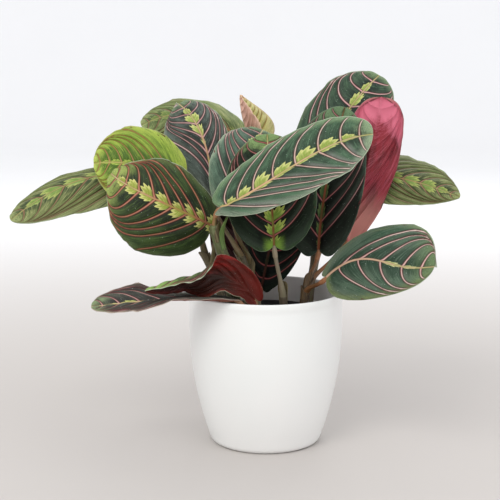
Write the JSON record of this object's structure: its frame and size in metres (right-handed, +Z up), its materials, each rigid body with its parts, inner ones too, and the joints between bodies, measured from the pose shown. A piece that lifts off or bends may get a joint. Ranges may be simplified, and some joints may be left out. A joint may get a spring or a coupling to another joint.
{
  "type": "potted prayer plant",
  "caption": "Bushy prayer plant with broad herringbone-veined leaves on clasping stalks, rooted in soil in a black nursery pot inside a round white cover pot.",
  "frame": {"origin": "centre of the cover pot's underside", "axes": "+Z up, +X to the right of the plant's front view, -Y out of its front"},
  "size_m": [0.3471, 0.2617, 0.2874],
  "materials": {
    "white_pot": "satin",
    "black_pot": "matte",
    "soil": "rough, damp",
    "blade_dark": "velvety satin",
    "blade_olive": "velvety satin",
    "blade_lime": "satin",
    "blade_red": "satin",
    "stalks": "satin"
  },
  "bodies": {
    "root": {"grow_pot": "black_pot", "leaf_back_left": "blade_dark", "leaf_back_low": "blade_dark", "leaf_back_middle": "blade_dark", "leaf_back_right": "blade_dark", "leaf_centre_front": "blade_dark", "leaf_centre_low": "blade_dark", "leaf_centre_right": "blade_dark", "leaf_curled_red": "blade_red", "leaf_front_left": "blade_dark", "leaf_front_long": "blade_dark", "leaf_left_far": "blade_olive", "leaf_left_lime": "blade_lime", "leaf_left_low": "blade_dark", "leaf_new_leaf": "blade_lime", "leaf_red_back": "blade_red", "leaf_right_far": "blade_olive", "leaf_right_low": "blade_dark", "leaf_upper_back": "blade_olive", "leaf_upper_left": "blade_dark", "leaf_upper_middle": "blade_dark", "leaf_upper_right": "blade_dark", "pot": "white_pot", "shoot_back": "stalks", "shoot_back_left": "stalks", "shoot_back_right": "stalks", "shoot_front": "stalks", "shoot_front_edge": "stalks", "shoot_front_left": "stalks", "shoot_front_low": "stalks", "shoot_left": "stalks", "shoot_low": "stalks", "shoot_middle": "stalks", "shoot_middle_left": "stalks", "shoot_right": "stalks", "soil": "soil"}
  },
  "joints": []
}
